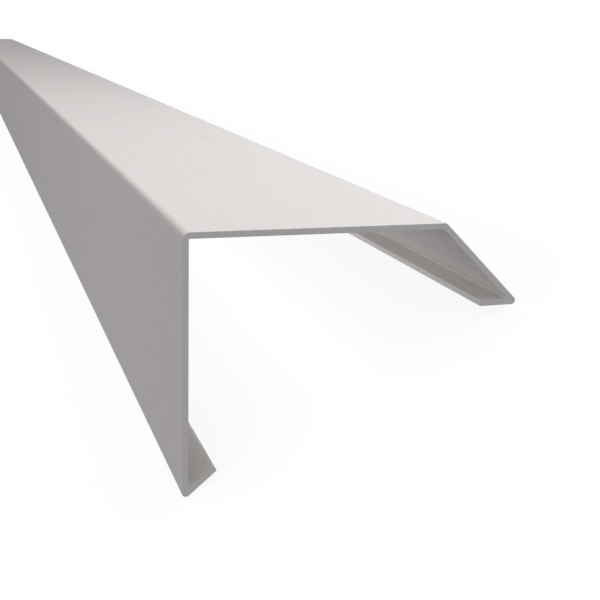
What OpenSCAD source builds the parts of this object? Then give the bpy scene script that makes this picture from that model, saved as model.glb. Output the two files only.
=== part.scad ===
// Roof edge trim: one length of extruded aluminium profile, powder coated.
// A flat top covers the head of the wall and a front face hangs down before it. Behind the top
// a flange slopes down to the roof and ends in a foot, which turns back under it. The front
// face ends in a lip, which turns in and up behind it. The wall is equally thick all over.
// The trim lies as it rests on a level floor, on the corner at its lip and the corner at its
// foot. Its length runs along Y, and the origin is on the floor, below the middle.

/* [Profile] */
// Width of the flat top
top_w = 85; // [60:0.5:150]
// Height of the front face
front_h = 85.5; // [60:0.5:150]
// Width of the rear flange, along its slope
rear_w = 40.5; // [25:0.5:80]
// Angle by which the rear flange falls away from the top
rear_fall = 44; // [35:1:60]
// Width of the foot under the rear flange
foot_w = 15; // [10:0.5:20]
// Width of the lip behind the front face
lip_w = 14.5; // [8:0.5:25]
// Angle between the lip and the front face
lip_angle = 50; // [40:1:85]

/* [Wall] */
// Thickness of the wall
wall_t = 2; // [1.5:0.1:3]
// Radius of the four inside corners
inside_r = 0.4; // [0.2:0.1:1]
// Radius along the free edges of the lip and the foot
edge_r = 0.3; // [0.1:0.1:0.6]

/* [Outside corners] */
// Radius between the lip and the front face
lip_r = 1.3; // [0.5:0.1:2.5]
// Radius between the front face and the top
front_r = 2.6; // [0.5:0.1:4]
// Radius between the top and the rear flange
rear_r = 1.2; // [0.5:0.1:4]
// Radius between the rear flange and the foot
foot_r = 1.3; // [0.5:0.1:2.5]

/* [Stock] */
// Length of the trim
trim_l = 2500; // [500:50:6000]

/* [Hidden] */
$fn = 96;
coat_colour = [0.84, 0.83, 0.82];
// How far the piece that shapes a corner reaches past its two faces, as a share of its radius
reach = 0.5;
// How far each arc stands proud of its two faces, so that it meets them in one clean edge
proud = 0.00002;

// The five runs of the profile, walked from the free edge of the lip to that of the foot:
// lip, front face, top, rear flange and foot, with the width of each and the way it heads
run_w = [lip_w, front_h, top_w, rear_w, foot_w];
run_dir = [270 - lip_angle, 90, 0, -rear_fall, -180];
runs = len(run_w);
// The corners between them, numbered by the run that ends there
lip_corner = 1;
foot_corner = 4;

// Unit vectors along a heading, and square to it into the wall
function along(heading) = [cos(heading), sin(heading)];
function inward(heading) = [sin(heading), -cos(heading)];
function unit(v) = v / norm(v);
function reversed(list) = [for (i = [len(list) - 1 : -1 : 0]) list[i]];

// The outside of the profile, with its corners still sharp
function walked(i) = i == 0 ? [0, 0] : walked(i - 1) + run_w[i - 1] * along(run_dir[i - 1]);
outside = [for (i = [0 : runs]) walked(i)];

// The inside of it, one wall thickness in from both faces at each corner
function mitre(a, b) = (inward(a) + inward(b)) / (1 + cos(a - b));
inside_corners = [for (i = [1 : runs - 1]) outside[i] + wall_t * mitre(run_dir[i - 1], run_dir[i])];
lip_end = outside[0] + wall_t * inward(run_dir[0]);
foot_end = outside[runs] + wall_t * inward(run_dir[runs - 1]);
inside = concat([lip_end], inside_corners, [foot_end]);

// The whole outline, and the radius at each of its points
outline = concat(outside, reversed(inside));
points = len(outline);
outside_radii = [edge_r, lip_r, front_r, rear_r, foot_r, edge_r];
inside_radii = [edge_r, inside_r, inside_r, inside_r, inside_r, edge_r];
radii = concat(outside_radii, inside_radii);
hollow_corners = [for (i = [runs + 2 : points - 2]) i];
solid_corners = concat([for (i = [0 : runs + 1]) i], [points - 1]);

// From a point of the outline towards the ones before and after it
function back_arm(i) = unit(outline[(i + points - 1) % points] - outline[i]);
function next_arm(i) = unit(outline[(i + 1) % points] - outline[i]);
function half_angle(i) = acos(back_arm(i) * next_arm(i)) / 2;
// From a point of the outline to the centre of the arc that rounds it
function to_centre(i) = unit(back_arm(i) + next_arm(i)) * (radii[i] - proud) / sin(half_angle(i));

// The angle by which the installed trim rolls over before its lip corner and its foot corner
// both touch the floor
lip_centre = outline[lip_corner] + to_centre(lip_corner);
foot_centre = outline[foot_corner] + to_centre(foot_corner);
stance = foot_centre - lip_centre;
roll = atan2(stance.y, stance.x) - asin((foot_r - lip_r) / norm(stance));
function rolled(v) = [v.x * cos(roll) + v.y * sin(roll), v.y * cos(roll) - v.x * sin(roll)];

// How far the rolled profile reaches to each side and down, from its rounded corners
arc_centres = [for (i = solid_corners) rolled(outline[i] + to_centre(i))];
arc_radii = [for (i = solid_corners) radii[i]];
last = len(solid_corners) - 1;
left = min([for (i = [0 : last]) arc_centres[i].x - arc_radii[i]]);
right = max([for (i = [0 : last]) arc_centres[i].x + arc_radii[i]]);
low = min([for (i = [0 : last]) arc_centres[i].y - arc_radii[i]]);

// A bar of the trim's length along Y, with the section of its children
module bar() {
    rotate([90, 0, 0]) linear_extrude(height = trim_l, center = true) children();
}

// What lies between the two faces at a point of the outline and the arc that rounds it
module corner_bar(i) {
    centre = to_centre(i);
    arm = (radii[i] - proud) / tan(half_angle(i));
    ends = [arm * back_arm(i), [0, 0], arm * next_arm(i)];
    translate([outline[i].x, 0, outline[i].y])
        difference() {
            bar() polygon(concat([centre], [for (end = ends) end + reach * (end - centre)]));
            bar() translate(centre) circle(r = radii[i]);
        }
}

// The trim as it is installed, with its top level: a sharp bar, with material added in the
// inside corners and taken off at the outside ones
module installed() {
    difference() {
        union() {
            bar() polygon(outline);
            for (i = hollow_corners) corner_bar(i);
        }
        for (i = solid_corners) corner_bar(i);
    }
}

// The trim as it rests on the floor
module edge_trim() {
    color(coat_colour)
        translate([-(left + right) / 2, 0, -low])
            rotate([0, roll, 0]) installed();
}

edge_trim();
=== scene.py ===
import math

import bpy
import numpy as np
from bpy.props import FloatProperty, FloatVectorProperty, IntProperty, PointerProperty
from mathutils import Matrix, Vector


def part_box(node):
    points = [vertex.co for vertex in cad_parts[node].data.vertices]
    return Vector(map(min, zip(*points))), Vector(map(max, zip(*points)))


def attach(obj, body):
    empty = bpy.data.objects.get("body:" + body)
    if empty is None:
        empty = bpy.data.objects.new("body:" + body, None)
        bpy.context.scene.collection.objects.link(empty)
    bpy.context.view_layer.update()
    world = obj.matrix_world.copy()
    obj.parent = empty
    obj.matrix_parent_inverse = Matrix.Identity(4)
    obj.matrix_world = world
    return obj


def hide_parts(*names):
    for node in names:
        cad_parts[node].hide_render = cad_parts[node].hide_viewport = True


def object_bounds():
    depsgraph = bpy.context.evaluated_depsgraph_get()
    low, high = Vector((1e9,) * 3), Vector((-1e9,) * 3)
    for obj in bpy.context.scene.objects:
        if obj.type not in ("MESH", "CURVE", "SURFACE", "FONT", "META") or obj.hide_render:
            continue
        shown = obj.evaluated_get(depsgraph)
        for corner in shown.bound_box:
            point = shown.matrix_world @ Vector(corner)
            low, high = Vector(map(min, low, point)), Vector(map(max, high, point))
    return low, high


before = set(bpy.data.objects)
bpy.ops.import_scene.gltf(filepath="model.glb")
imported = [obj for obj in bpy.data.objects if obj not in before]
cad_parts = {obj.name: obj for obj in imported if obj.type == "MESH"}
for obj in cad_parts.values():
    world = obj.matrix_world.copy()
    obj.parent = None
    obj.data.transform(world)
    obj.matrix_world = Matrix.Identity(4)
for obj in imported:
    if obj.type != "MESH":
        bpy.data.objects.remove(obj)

# One length of roof edge trim: an aluminium profile with a light grey powder coat, on the floor of
# a plain studio. The section is walked run by run as it is installed, with its top level, and is
# then rolled onto its lip corner and its foot corner, on which the trim rests. The camera and the
# lights are rolled with it, so that the picture shows the trim with its top level. Lengths are in
# metres, Y runs along the trim, and the near end is the one towards the camera.

CAD_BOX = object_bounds()
CAD_NODE = "edge_trim"
CAD_BODY = "root"
# The attribute that says how far each corner of the mesh belongs to a cut end
CUT_SHARE = "cut_end"
MILLIMETRE = 0.001
RIGHT_ANGLE = 0.5 * math.pi
# Sharp corners of the section, by their number in its outline
LIP_CORNER, FRONT_CORNER, FOOT_CORNER = 1, 2, 4

bl_info = {
    "name": "Roof edge trim",
    "version": (1, 0, 0),
    "blender": (4, 5, 0),
    "location": "3D View > Sidebar > Edge Trim",
    "description": "One length of powder coated roof edge trim, and a plain studio round it",
    "category": "Add Mesh",
}


def size(name, description, millimetres):
    """A length that a user can set, with its default given in millimetres."""
    return FloatProperty(name=name, description=description, default=millimetres * MILLIMETRE,
                         unit="LENGTH", precision=5, min=0.0)


def angle(name, description, degrees):
    """An angle that a user can set, with its default given in degrees."""
    return FloatProperty(name=name, description=description, default=math.radians(degrees),
                         subtype="ANGLE", unit="ROTATION")


def share(name, description, default):
    """A share from 0 to 1 that a user can set."""
    return FloatProperty(name=name, description=description, default=default,
                         subtype="FACTOR", min=0.0, max=1.0)


def colour(name, description, default):
    """A colour that a user can set."""
    return FloatVectorProperty(name=name, description=description, default=default,
                               subtype="COLOR", size=3, min=0.0, max=1.0)


def power(name, description, default):
    """The power of a lamp that a user can set, in watts."""
    return FloatProperty(name=name, description=description, default=default, unit="POWER", min=0.0)


def level(name, description, default):
    """A level of light that a user can set, where 1 shows a white face as white."""
    return FloatProperty(name=name, description=description, default=default, min=0.0)


def count(name, description, default):
    """A number of steps that a user can set."""
    return IntProperty(name=name, description=description, default=default, min=1)


class TrimSection(bpy.types.PropertyGroup):
    """Sizes of the section, whose widths run to its sharp outside corners, and of the bar."""

    top_width: size("Top width", "Width of the flat top", 85)
    front_height: size("Front height", "Height of the front face", 85.5)
    rear_width: size("Rear width", "Width of the rear flange, along its slope", 40.5)
    rear_fall: angle("Rear fall", "Angle by which the rear flange falls away from the top", 44)
    foot_width: size("Foot width", "Width of the foot under the rear flange", 15)
    lip_width: size("Lip width", "Width of the lip behind the front face", 14.5)
    lip_angle: angle("Lip angle", "Angle between the lip and the front face", 50)
    wall: size("Wall", "Thickness of the wall", 2)
    inside_radius: size("Inside radius", "Radius of the four inside corners", 0.4)
    edge_radius: size("Free edge radius", "Radius along the free edges of lip and foot", 0.3)
    lip_radius: size("Lip radius", "Radius between the lip and the front face", 1.3)
    front_radius: size("Front radius", "Radius between the front face and the top", 2.6)
    rear_radius: size("Rear radius", "Radius between the top and the rear flange", 1.2)
    foot_radius: size("Foot radius", "Radius between the rear flange and the foot", 1.3)
    cut_radius: size("Cut edge radius", "Radius that the coat gives the edges of a cut end", 0.1)
    arc_steps: count("Arc steps", "Faces along each rounded corner", 14)
    cut_steps: count("Cut edge steps", "Faces across the rounded edge of a cut end", 5)
    bar_steps: count("Bar steps", "Faces along the bar", 100)


class TrimCoat(bpy.types.PropertyGroup):
    """The powder coat: its colour, its gloss and the relief of its surface."""

    tint: colour("Colour", "Colour of the coat", (0.712, 0.691, 0.684))
    shade_drift: share("Shade drift", "How far the shade drifts along the bar", 0.012)
    streak: share("Streaks", "How far the streaks of the drawn metal stand out in shade", 0.022)
    roughness: share("Roughness", "Roughness of the coat", 0.78)
    gloss_drift: share("Gloss drift", "How far the roughness drifts along the bar", 0.1)
    specular: share("Specular", "Strength of the coat's reflection", 0.2)
    drift_width: size("Drift width", "Width of a patch of one shade", 90)
    streak_width: size("Streak width", "Width of one streak", 1.6)
    streak_length: size("Streak length", "Length of one streak", 30)
    ripple_width: size("Ripple width", "Width of one ripple of the coat", 2.4)
    ripple_length: size("Ripple length", "Length of one ripple, along the bar", 8)
    ripple_lean: share("Ripple lean", "How far the ripples lean the surface along the bar", 0.4)
    peel_width: size("Peel width", "Width of one bump of the orange peel", 3.5)
    peel_depth: size("Peel depth", "Height of the orange peel", 0.06)
    grain_width: size("Grain width", "Width of one grain of the powder", 0.7)
    grain_depth: size("Grain depth", "Height of the grain", 0.006)
    saw_pitch: size("Saw pitch", "Width of a saw mark that shows through on a cut end", 0.5)
    saw_length: size("Saw mark length", "Length of such a mark", 12)
    saw_depth: size("Saw depth", "Height of the saw marks", 0.008)
    saw_slant: angle("Saw slant", "Slant of the saw marks across the section", 35)


class TrimStudio(bpy.types.PropertyGroup):
    """The camera, the lights and the floor. Places are in the frame of the installed trim, from
    the sharp corner between front face and top at the near end."""

    eye_side: size("Camera side", "How far the camera stands before the front face", 59.04)
    eye_back: size("Camera distance", "How far the camera stands back from the near end", 274.01)
    eye_height: size("Camera height", "How far the camera stands above the top", 58.48)
    heading: angle("Camera heading", "Turn of the camera from the trim's length", 19.255)
    fall: angle("Camera fall", "How far the camera looks down", 15.563)
    lean: angle("Camera lean", "Turn of the camera about its own line of sight", 1.935)
    field: angle("Field of view", "Angle that the picture's width takes in", 33.906)
    top_lamp_side: size("Top lamp side", "How far the top lamp hangs behind the front face", 560)
    top_lamp_height: size("Top lamp height", "Height of the top lamp above the top", 830)
    top_lamp_power: power("Top lamp power", "Power of the top lamp", 27.2)
    side_lamp_reach: size("Side lamp reach",
                          "How far the side lamp stands before the front face", 750)
    side_lamp_drop: size("Side lamp drop", "How far the side lamp stands below the top", 40)
    side_lamp_power: power("Side lamp power", "Power of the side lamp", 1.95)
    globe_radius: size("Globe radius", "Radius of both lamps' globes", 15)
    globe_tint: colour("Globe colour", "Colour of both lamps", (0.992, 0.997, 1.0))
    fill_level: level("Fill level", "Light that the fill throws on the near end", 0.203)
    fill_tint: colour("Fill colour", "Colour of the fill", (0.965, 1.0, 0.99))
    fill_spread: angle("Fill spread", "Angle that the fill takes in, seen from the trim", 60)
    sky_level: level("Sky level", "Brightness of the light from all round", 0.435)
    sky_tint: colour("Sky colour", "Colour of the light from all round", (1.0, 0.985, 0.968))
    front_strip_level: level("Front strip level",
                             "Brightness of the strip light on the front face", 0.94)
    front_strip_width: size("Front strip width", "Width of that strip light", 40)
    front_strip_drop: size("Front strip drop", "How far its middle hangs below the top", 35)
    top_strip_level: level("Top strip level", "Brightness of the strip light under the top", 1.14)
    top_strip_width: size("Top strip width", "Width of that strip light", 50)
    top_strip_reach: size("Top strip reach", "How far its middle lies behind the front face", 45)
    strip_gap: size("Strip gap", "Gap between a strip light and the face that it hangs on", 2)
    floor_level: level("Floor level", "Brightness of the light from the floor", 0.078)
    floor_width: size("Floor width", "Width of the floor", 16000)
    shadow_depth: share("Shadow depth", "How much of the floor's white a full shadow takes", 0.1)
    shadow_reach: size("Shadow reach", "How far from the trim its shadow on the floor fades", 50)


def along(heading):
    """Unit vectors along headings: the cosine and the sine of each."""
    return np.stack([np.cos(heading), np.sin(heading)], axis=-1)


def unit(vectors):
    """The vectors, each divided by its own length."""
    return vectors / np.linalg.norm(vectors, axis=-1, keepdims=True)


def section_outline(section):
    """The sharp corners of the installed section as an array of (x, z), and their radii.

    The outside is the running sum of the runs, each its width times the unit vector of its
    heading, from the free edge of the lip to that of the foot. The inside lies one wall to the
    right of it, at the corners along the mitre, the sum of both square unit vectors over one
    plus the cosine of the turn. The outline goes out along the outside and back along the inside.
    """
    widths = np.array([section.lip_width, section.front_height, section.top_width,
                       section.rear_width, section.foot_width])
    headings = np.array([3 * RIGHT_ANGLE - section.lip_angle, RIGHT_ANGLE, 0.0,
                         -section.rear_fall, -2 * RIGHT_ANGLE])
    walk = np.cumsum(widths[:, None] * along(headings), axis=0)
    outside = np.vstack([np.zeros(2), walk])
    inward = along(headings - RIGHT_ANGLE)
    spread = 1 + np.cos(headings[:-1] - headings[1:])
    mitres = (inward[:-1] + inward[1:]) / spread[:, None]
    inside = outside + section.wall * np.vstack([inward[:1], mitres, inward[-1:]])
    free, hollow = section.edge_radius, section.inside_radius
    outside_radii = [free, section.lip_radius, section.front_radius, section.rear_radius,
                     section.foot_radius, free]
    inside_radii = [free, *[hollow] * len(mitres), free]
    return np.vstack([outside, inside[::-1]]), np.array(outside_radii + inside_radii)


def corner_arcs(outline, radii):
    """The arc at each corner: its centre, the signed radius, the angle of the normal at its start
    and the angle by which that normal turns.

    The centre lies on the bisector, at the radius over the sine of half the corner's angle. The
    normal is the heading plus a right angle. The outline runs clockwise, so a corner that turns
    left is a hollow one, where the wall lies outside the arc and the radius counts as negative.
    """
    ahead = unit(np.roll(outline, -1, axis=0) - outline)
    behind = -np.roll(ahead, 1, axis=0)
    half = 0.5 * np.arccos(np.sum(ahead * behind, axis=1))
    centres = outline + unit(ahead + behind) * (radii / np.sin(half))[:, None]
    cross = ahead[:, 0] * behind[:, 1] - ahead[:, 1] * behind[:, 0]
    turn = np.sign(cross) * (math.pi - 2 * half)
    start = np.arctan2(-behind[:, 1], -behind[:, 0]) + RIGHT_ANGLE
    return centres, -np.sign(turn) * radii, start, turn


def rest_place(section):
    """The matrix that carries the installed section to where the trim rests.

    It rolls about Y by the angle of the line that touches the arcs at the lip corner and the
    foot corner from below. It then shifts by the reach of the rolled arcs, each its centre and
    its radius, so that the lowest stands on the floor and both sides lie equally far out.
    """
    outline, radii = section_outline(section)
    centres, signed, _, _ = corner_arcs(outline, radii)
    stance = centres[FOOT_CORNER] - centres[LIP_CORNER]
    slope = math.asin((radii[FOOT_CORNER] - radii[LIP_CORNER]) / np.linalg.norm(stance))
    roll = math.atan2(stance[1], stance[0]) - slope
    solid = signed > 0
    turned = centres[solid] @ np.array([[math.cos(roll), -math.sin(roll)],
                                        [math.sin(roll), math.cos(roll)]])
    reach = radii[solid][:, None]
    low = (turned - reach).min(axis=0)
    high = (turned + reach).max(axis=0)
    floor = CAD_BOX[0][2]
    shift = Matrix.Translation((-0.5 * (low[0] + high[0]), 0.0, floor - low[1]))
    return shift @ Matrix.Rotation(roll, 4, "Y")


def section_ring(section):
    """The points of the resting section and their outward normals, as two arrays of (x, z).

    Each corner's normals turn evenly from its start by its turn, and a point is the centre plus
    the signed radius times its normal. The flats need no points between the arcs.
    """
    centres, signed, start, turn = corner_arcs(*section_outline(section))
    steps = np.linspace(0.0, 1.0, section.arc_steps + 1)
    normals = along(start[:, None] + turn[:, None] * steps)
    points = centres[:, None] + signed[:, None, None] * normals
    x, z, shift = 0, 2, 3
    place = np.array(rest_place(section))
    roll, move = place[np.ix_([x, z], [x, z])].T, place[[x, z], shift]
    return points.reshape(-1, 2) @ roll + move, normals.reshape(-1, 2) @ roll


def bar_stations(section):
    """The stations along Y: where each lies, how far the section is drawn in there and how far
    its normals lean towards the ends.

    Over a cut edge the angle grows from 0 to a right angle. There the station moves on by the
    radius times one less its cosine, the section is drawn in by the radius times one less its
    sine, and the normals lean by its cosine. Between the two ends the section is carried as it is.
    """
    near, far = (corner[1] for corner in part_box(CAD_NODE))
    radius = section.cut_radius
    bend = np.linspace(0.0, RIGHT_ANGLE, section.cut_steps + 1)
    rise = radius * (1 - np.cos(bend))
    drawn = radius * (1 - np.sin(bend))
    middle = np.linspace(near + radius, far - radius, section.bar_steps + 1)[1:-1]
    places = np.concatenate([near + rise, middle, (far - rise)[::-1]])
    still = np.zeros(len(middle))
    draws = np.concatenate([drawn, still, drawn[::-1]])
    leans = np.concatenate([-np.cos(bend), still, np.cos(bend)[::-1]])
    return places, draws, leans


def trim_surface(section):
    """The whole surface as corners, normals, faces and the share of each corner on a cut end.

    It is a function of two parameters, the place round the section and the place along the bar:
    the section's point less its normal times how far it is drawn in, at the station's Y. Its
    normal is the section's, leaned towards the end. The sides are the grid's own quads. As the
    outline comes back along the inside, its first half lies opposite its second half, and each
    cut end is a strip of quads between the two.
    """
    points, outward = section_ring(section)
    places, draws, leans = bar_stations(section)
    rows, ring = len(places), len(points)
    upright = np.sqrt(1 - leans ** 2)
    corners = np.empty((rows, ring, 3))
    corners[..., [0, 2]] = points - draws[:, None, None] * outward
    corners[..., 1] = places[:, None]
    normals = np.empty((rows, ring, 3))
    normals[..., [0, 2]] = upright[:, None, None] * outward
    normals[..., 1] = leans[:, None]
    cut = np.repeat(np.abs(leans), ring)

    row = np.arange(rows - 1)[:, None] * ring
    here = np.arange(ring)[None, :]
    following = (here + 1) % ring
    ahead = row + ring
    sides = np.stack([row + here, row + following, ahead + following, ahead + here], axis=-1)
    first = np.arange(ring // 2 - 1)
    opposite = ring - 1 - first
    near_end = np.stack([first, opposite, opposite - 1, first + 1], axis=-1)
    far_end = (rows - 1) * ring + near_end[:, ::-1]
    faces = np.vstack([sides.reshape(-1, 4), near_end, far_end])
    return corners.reshape(-1, 3), normals.reshape(-1, 3), faces, cut


class Value:
    """A node's output in Python expressions. Each operator adds the Math node it stands for."""

    def __init__(self, graph, socket):
        self.graph = graph
        self.socket = socket

    def worked(self, operation, first, second):
        return self.graph.add("ShaderNodeMath", {"operation": operation}, {0: first, 1: second})

    def __add__(self, other):
        return self.worked("ADD", self, other)

    def __radd__(self, other):
        return self.worked("ADD", other, self)

    def __sub__(self, other):
        return self.worked("SUBTRACT", self, other)

    def __rsub__(self, other):
        return self.worked("SUBTRACT", other, self)

    def __mul__(self, other):
        return self.worked("MULTIPLY", self, other)

    def __rmul__(self, other):
        return self.worked("MULTIPLY", other, self)

    def at_least(self, other):
        return self.worked("MAXIMUM", self, other)


class Graph:
    """A node tree, and the method that adds a node of any kind to it."""

    def __init__(self, tree):
        self.tree = tree
        tree.nodes.clear()

    def add(self, kind, settings, inputs, output=0):
        """Adds a node, with its settings first and then the values or links of its sockets, and
        gives back the output asked for, if it has any."""
        node = self.tree.nodes.new(kind)
        for name, setting in settings.items():
            setattr(node, name, setting)
        for name, value in inputs.items():
            if isinstance(value, Value):
                self.tree.links.new(value.socket, node.inputs[name])
            else:
                node.inputs[name].default_value = value
        return Value(self, node.outputs[output]) if len(node.outputs) else None

    def noise(self, place, width, detail):
        """Noise from about -0.5 to 0.5, whose patches are about as wide as asked."""
        sockets = {"Vector": place, "Scale": 1 / width, "Detail": detail}
        return self.add("ShaderNodeTexNoise", {}, sockets) - 0.5

    def drawn_noise(self, place, sizes, detail, slant=0.0):
        """Noise whose patches are about as large along X, Y and Z as asked, slanted about Y."""
        sockets = {"Vector": place, "Rotation": (0.0, slant, 0.0), "Scale": sizes}
        drawn = self.add("ShaderNodeMapping", {"vector_type": "TEXTURE"}, sockets)
        return self.noise(drawn, 1.0, detail)

    def blend(self, second_share, first, second):
        """One colour turning into another. On a Mix node, sockets 6 and 7 take the two colours,
        and output 2 gives the blend."""
        sockets = {0: second_share, 6: (*first, 1.0), 7: (*second, 1.0)}
        return self.add("ShaderNodeMix", {"data_type": "RGBA"}, sockets, output=2)

    def mix(self, second_share, first, second):
        """One shader turning into another."""
        return self.add("ShaderNodeMixShader", {}, {0: second_share, 1: first, 2: second})


def powder_coat(coat):
    """Powder coat: a matt paint whose shade and gloss drift slightly, with faint streaks along
    the bar. The bump gives it an orange peel, a fine grain and, on the cut ends, the marks of
    the saw. Its heights are in metres, so its strength and its distance are 1. The ripples lean
    the surface along the bar only, so they show where the light comes in along the bar.
    """
    material = bpy.data.materials.new("powder_coat_light_grey")
    material.use_nodes = True
    graph = Graph(material.node_tree)
    place = graph.add("ShaderNodeTexCoord", {}, {}, output="Object")
    drift = graph.noise(place, coat.drift_width, detail=2.0)
    streak_sizes = (coat.streak_width, coat.streak_length, coat.streak_width)
    streak = graph.drawn_noise(place, streak_sizes, detail=2.0)
    ripple_sizes = (coat.ripple_width, coat.ripple_length, coat.ripple_width)
    ripple = graph.drawn_noise(place, ripple_sizes, detail=0.0)
    peel = graph.noise(place, coat.peel_width, detail=1.0)
    grain = graph.noise(place, coat.grain_width, detail=2.0)
    # A metre along the bar keeps a saw mark the same over the rounded edge of a cut end
    saw_sizes = (coat.saw_length, 1.0, coat.saw_pitch)
    saw = graph.drawn_noise(place, saw_sizes, detail=1.0, slant=coat.saw_slant)
    cut = graph.add("ShaderNodeAttribute", {"attribute_name": CUT_SHARE}, {}, output="Fac")

    # The noise is 0 on average, where a share of a half gives the tint itself
    tint = np.array(coat.tint)
    swing = coat.shade_drift + coat.streak
    shade = 0.5 + drift * (coat.shade_drift / swing) + streak * (coat.streak / swing)
    base = graph.blend(shade, tint * (1 - swing), tint * (1 + swing))

    height = peel * coat.peel_depth + grain * coat.grain_depth + cut * saw * coat.saw_depth
    relief = graph.add("ShaderNodeBump", {}, {"Strength": 1.0, "Distance": 1.0, "Height": height})
    lean = graph.add("ShaderNodeCombineXYZ", {}, {"Y": ripple * coat.ripple_lean})
    leaned = graph.add("ShaderNodeVectorMath", {"operation": "ADD"}, {0: relief, 1: lean})
    normal = graph.add("ShaderNodeVectorMath", {"operation": "NORMALIZE"}, {0: leaned})

    paint = graph.add("ShaderNodeBsdfPrincipled", {}, {
        "Base Color": base, "Roughness": coat.roughness + drift * coat.gloss_drift,
        "Specular IOR Level": coat.specular, "Normal": normal})
    graph.add("ShaderNodeOutputMaterial", {}, {"Surface": paint})
    return material


def seen_directly(graph):
    """1 for what the camera sees, itself or in a reflection, and 0 for the light on the trim."""
    rays = ("Is Camera Ray", "Is Glossy Ray", "Is Transmission Ray")
    seen, mirrored, passed = (graph.add("ShaderNodeLightPath", {}, {}, output=ray) for ray in rays)
    return seen.at_least(mirrored).at_least(passed)


def white_floor(studio):
    """The floor: it glows evenly on the trim and is seen as white, with a painted soft shadow
    where the trim covers it from the sky: ambient occlusion darkens the white that it shows,
    and no lamp casts this shadow. From below it isn't seen at all."""
    material = bpy.data.materials.new("white_studio_floor")
    material.use_nodes = True
    graph = Graph(material.node_tree)
    reach = {"Distance": studio.shadow_reach}
    open_sky = graph.add("ShaderNodeAmbientOcclusion", {}, reach, output="AO")
    # Painted shadow: near the trim, ambient occlusion lowers the floor's white, whatever the lamps
    # do
    brightness = 1 - (1 - open_sky) * studio.shadow_depth
    seen = graph.add("ShaderNodeEmission", {}, {"Strength": brightness})
    glow = graph.add("ShaderNodeEmission", {}, {"Color": (*studio.sky_tint, 1.0),
                                                "Strength": studio.floor_level})
    above = graph.mix(seen_directly(graph), glow, seen)
    below = graph.add("ShaderNodeBsdfTransparent", {}, {})
    back = graph.add("ShaderNodeNewGeometry", {}, {}, output="Backfacing")
    graph.add("ShaderNodeOutputMaterial", {}, {"Surface": graph.mix(back, above, below)})
    return material


def new_object(name, data):
    """A new object in the scene, at the origin."""
    made = bpy.data.objects.new(name, data)
    bpy.context.scene.collection.objects.link(made)
    return made


class BuildTrim(bpy.types.Operator):
    """Build the coated trim where it rests"""

    bl_idname = "edge_trim.build_trim"
    bl_label = "Build Trim"

    def execute(self, context):
        corners, normals, faces, cut = trim_surface(context.scene.trim_section)
        mesh = bpy.data.meshes.new("coated_trim")
        mesh.from_pydata(corners.tolist(), [], faces.tolist())
        mesh.shade_smooth()
        mesh.normals_split_custom_set_from_vertices(normals.tolist())
        mesh.attributes.new(CUT_SHARE, "FLOAT", "POINT").data.foreach_set("value", cut)
        if mesh.validate():
            raise RuntimeError("the surface of the trim has faces that Blender had to mend")
        mesh.materials.append(powder_coat(context.scene.trim_coat))
        trim = new_object("coated_trim", mesh)
        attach(trim, CAD_BODY)
        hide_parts(CAD_NODE)
        return {"FINISHED"}


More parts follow.
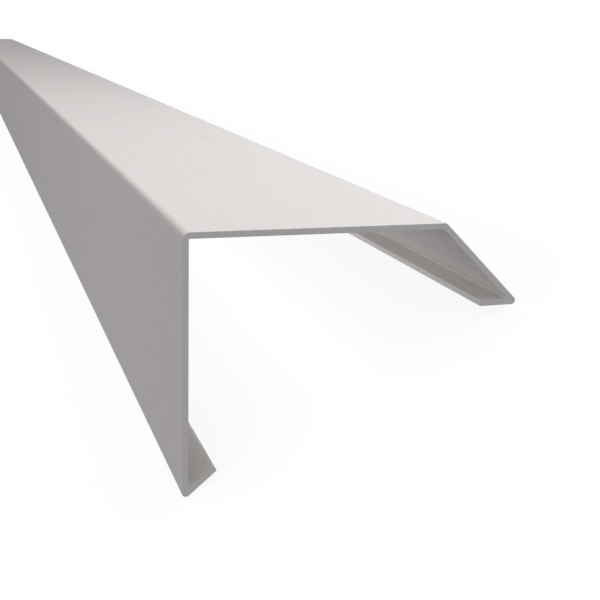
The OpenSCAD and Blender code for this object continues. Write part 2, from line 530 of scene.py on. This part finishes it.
class BuildStudio(bpy.types.Operator):
    """Set up the floor, the sky, the lights and the camera"""

    bl_idname = "edge_trim.build_studio"
    bl_label = "Build Studio"

    def execute(self, context):
        scene = context.scene
        studio = scene.trim_studio
        scene.view_settings.view_transform = "Standard"
        self.lay_floor(studio)
        self.light_sky(scene, studio)
        corner = self.near_corner(scene.trim_section)
        self.hang_lamps(studio, corner)
        self.hang_fill(studio, corner)
        self.hang_strips(scene, corner)
        self.place_camera(scene, corner)
        return {"FINISHED"}

    def near_corner(self, section):
        """The installed frame at the sharp corner between front face and top, at the near end."""
        x, z = section_outline(section)[0][FRONT_CORNER]
        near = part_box(CAD_NODE)[0][1]
        return rest_place(section) @ Matrix.Translation((x, near, z))

    def lay_floor(self, studio):
        """A square floor under the trim: all four signs of half its width."""
        half = 0.5 * studio.floor_width
        x, y = half * np.array([[-1, 1, 1, -1], [-1, -1, 1, 1]])
        corners = np.stack([x, y, np.full(4, CAD_BOX[0][2])], axis=-1)
        mesh = bpy.data.meshes.new("studio_floor")
        mesh.from_pydata(corners.tolist(), [], [(0, 1, 2, 3)])
        mesh.materials.append(white_floor(studio))
        new_object("studio_floor", mesh)

    def light_sky(self, scene, studio):
        """A sky that is seen as white and lights the trim evenly from all round."""
        scene.world = bpy.data.worlds.new("studio_sky")
        scene.world.use_nodes = True
        graph = Graph(scene.world.node_tree)
        glow = np.array(studio.sky_tint) * studio.sky_level
        tint = graph.blend(seen_directly(graph), glow, (1.0, 1.0, 1.0))
        sky = graph.add("ShaderNodeBackground", {}, {"Color": tint, "Strength": 1.0})
        graph.add("ShaderNodeOutputWorld", {}, {"Surface": sky})

    def hang_lamps(self, studio, corner):
        """Two globes at the near end, so that the light falls off along the bar: one over the
        top, and a weak one before the front face. Both stand just behind the plane of the cut
        end, so that no light comes in past it under the top."""
        behind = studio.globe_radius
        over = (studio.top_lamp_side, behind, studio.top_lamp_height)
        beside = (-studio.side_lamp_reach, behind, -studio.side_lamp_drop)
        self.hang_globe("lamp_over", studio, corner, over, studio.top_lamp_power)
        self.hang_globe("lamp_beside", studio, corner, beside, studio.side_lamp_power)

    def hang_globe(self, name, studio, corner, place, watts):
        """A glowing globe that the camera doesn't see."""
        globe = bpy.data.lights.new(name, "POINT")
        globe.energy = watts
        globe.color = studio.globe_tint
        globe.shadow_soft_size = studio.globe_radius
        lamp = new_object(name, globe)
        lamp.matrix_world = corner @ Matrix.Translation(place)
        lamp.visible_camera = False

    def hang_fill(self, studio, corner):
        """A wide fill from before the near end. It throws no shadow, so that the cut end is lit
        evenly. A strength of pi shows a white face that is turned to it as white."""
        fill = bpy.data.lights.new("fill_near", "SUN")
        fill.energy = math.pi * studio.fill_level
        fill.color = studio.fill_tint
        fill.angle = studio.fill_spread
        fill.use_shadow = False
        new_object("fill_near", fill).matrix_world = corner @ Matrix.Rotation(RIGHT_ANGLE, 4, "X")

    def hang_strips(self, scene, corner):
        """Two strip lights along the hollow, so that it isn't dark: one on the inside of the
        front face that shines to the rear, and one under the top that shines down."""
        studio = scene.trim_studio
        inset = scene.trim_section.wall + studio.strip_gap
        front = corner @ Matrix.Translation((inset, 0.0, -studio.front_strip_drop))
        top = corner @ Matrix.Translation((studio.top_strip_reach, 0.0, -inset))
        self.hang_strip("strip_front", front @ Matrix.Rotation(-RIGHT_ANGLE, 4, "Y"),
                        studio.front_strip_width, studio.front_strip_level)
        self.hang_strip("strip_top", top, studio.top_strip_width, studio.top_strip_level)

    def hang_strip(self, name, near_end, width, brightness):
        """A strip light as long as the bar, from its near end on, that the camera doesn't see.
        Its power is pi times its area and its brightness."""
        long = CAD_BOX[1][1] - CAD_BOX[0][1]
        strip = bpy.data.lights.new(name, "AREA")
        strip.shape = "RECTANGLE"
        strip.size = width
        strip.size_y = long
        strip.energy = math.pi * width * long * brightness
        lamp = new_object(name, strip)
        lamp.matrix_world = near_end @ Matrix.Translation((0.0, 0.5 * long, 0.0))
        lamp.visible_camera = False

    def place_camera(self, scene, corner):
        """The camera before the near end. A new one looks straight down, so it is leaned first,
        then raised by a right angle less its fall, and then turned by its heading."""
        studio = scene.trim_studio
        lens = bpy.data.cameras.new("camera")
        lens.angle = studio.field
        camera = new_object("camera", lens)
        eye = Matrix.Translation((-studio.eye_side, -studio.eye_back, studio.eye_height))
        heading = Matrix.Rotation(-studio.heading, 4, "Z")
        raised = Matrix.Rotation(RIGHT_ANGLE - studio.fall, 4, "X")
        lean = Matrix.Rotation(studio.lean, 4, "Z")
        camera.matrix_world = corner @ eye @ heading @ raised @ lean
        scene.camera = camera


class TrimPanel(bpy.types.Panel):
    """The sidebar's panel for the trim"""

    bl_idname = "VIEW3D_PT_edge_trim"
    bl_label = "Edge Trim"
    bl_space_type = "VIEW_3D"
    bl_region_type = "UI"
    bl_category = "Edge Trim"

    def draw(self, context):
        steps = ((BuildTrim, ("trim_section", "trim_coat")), (BuildStudio, ("trim_studio",)))
        for operator, groups in steps:
            box = self.layout.box()
            for group in groups:
                settings = getattr(context.scene, group)
                for name in settings.__annotations__:
                    box.prop(settings, name)
            box.operator(operator.bl_idname)


GROUPS = {"trim_section": TrimSection, "trim_coat": TrimCoat, "trim_studio": TrimStudio}
CLASSES = (*GROUPS.values(), BuildTrim, BuildStudio, TrimPanel)


def register():
    """Makes the classes known to Blender, and gives each scene the groups of settings."""
    for each in CLASSES:
        bpy.utils.register_class(each)
    for name, group in GROUPS.items():
        setattr(bpy.types.Scene, name, PointerProperty(type=group))


def unregister():
    """Takes back what register has done."""
    for name in GROUPS:
        delattr(bpy.types.Scene, name)
    for each in reversed(CLASSES):
        bpy.utils.unregister_class(each)


def main():
    """Builds the trim and its studio."""
    register()
    bpy.ops.edge_trim.build_trim()
    bpy.ops.edge_trim.build_studio()


if __name__ == "__main__":
    main()
